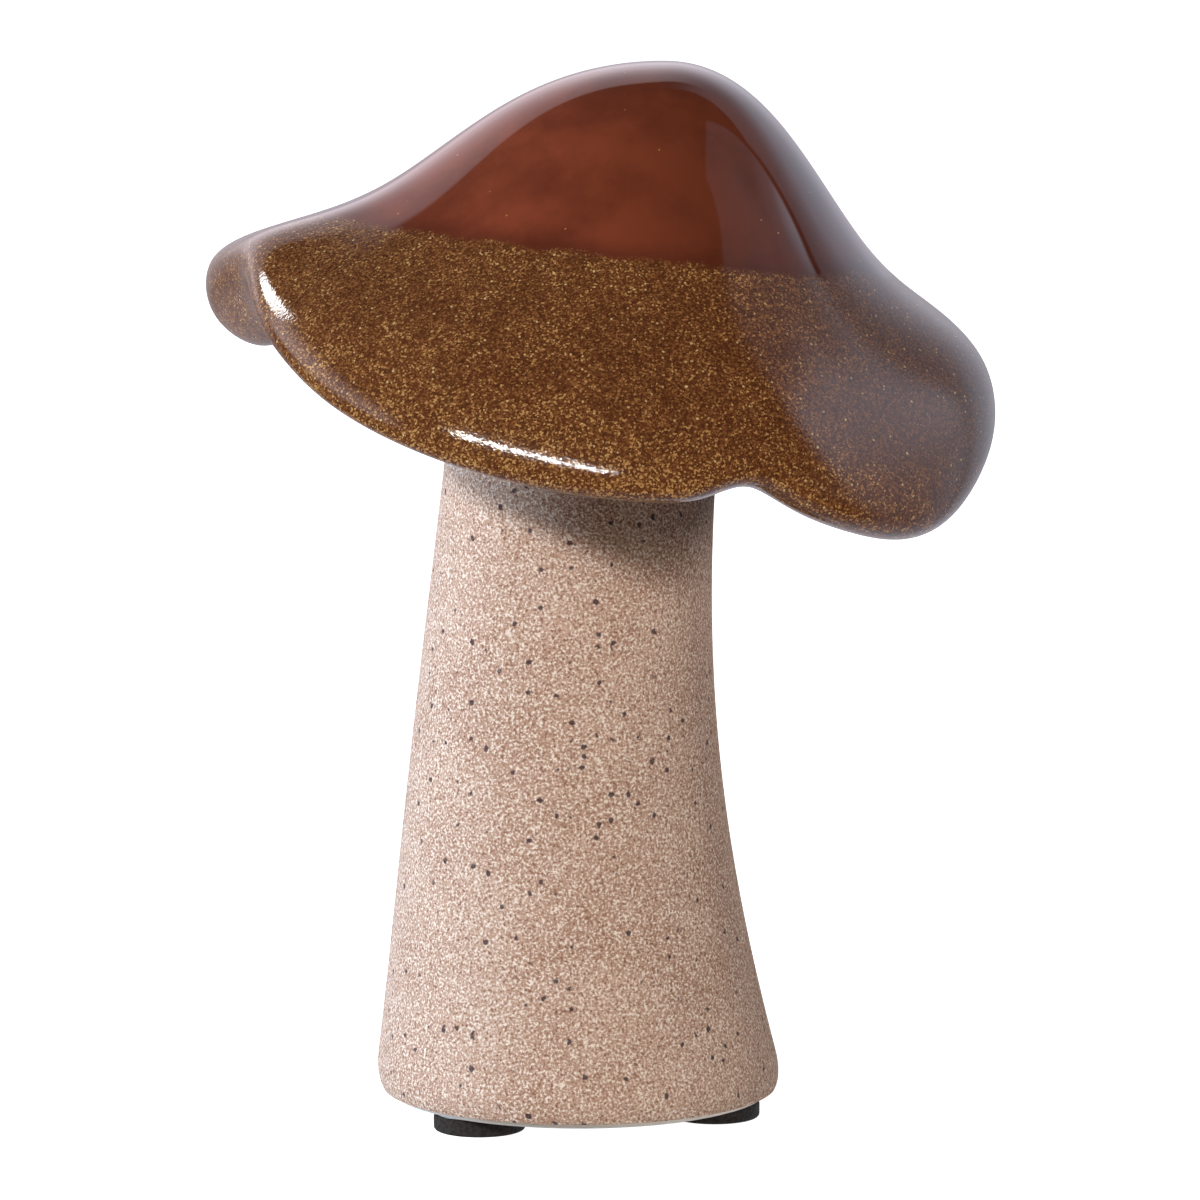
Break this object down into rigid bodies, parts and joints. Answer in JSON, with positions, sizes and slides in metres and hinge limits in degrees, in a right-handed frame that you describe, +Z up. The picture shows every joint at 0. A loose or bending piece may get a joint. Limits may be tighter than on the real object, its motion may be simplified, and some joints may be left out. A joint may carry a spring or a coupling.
{
  "type": "ceramic mushroom ornament",
  "caption": "Free-standing stoneware mushroom ornament with a wavy two-tone glazed cap on a sand-textured stem, resting on small foam feet.",
  "frame": {"origin": "on the table under the middle of the cap's outline, level with the undersides of the foot pads", "axes": "+Z up along the ornament's height, +X to the right and -Y towards the viewer of the picture"},
  "size_m": [0.0861, 0.0814, 0.1154],
  "materials": {
    "stoneware": "bare fired stoneware, matte",
    "crown_glaze": "smooth glossy rust-red glaze",
    "rim_glaze": "glossy brown glaze with fine gold flecks",
    "sand_coat": "rough sandy coat with dark specks",
    "joint_adhesive": "cured epoxy",
    "foam": "matte black foam rubber",
    "pad_film": "thin double-sided adhesive film"
  },
  "bodies": {
    "root": {"cap_body": "stoneware", "crown_glaze": "crown_glaze", "rim_glaze": "rim_glaze", "stem_body": "stoneware", "stem_sand_coat": "sand_coat", "joint_adhesive": "joint_adhesive", "foot_pad_front_left": "foam", "foot_pad_right": "foam", "foot_pad_back": "foam", "pad_adhesive_front_left": "pad_film", "pad_adhesive_right": "pad_film", "pad_adhesive_back": "pad_film"}
  },
  "joints": []
}
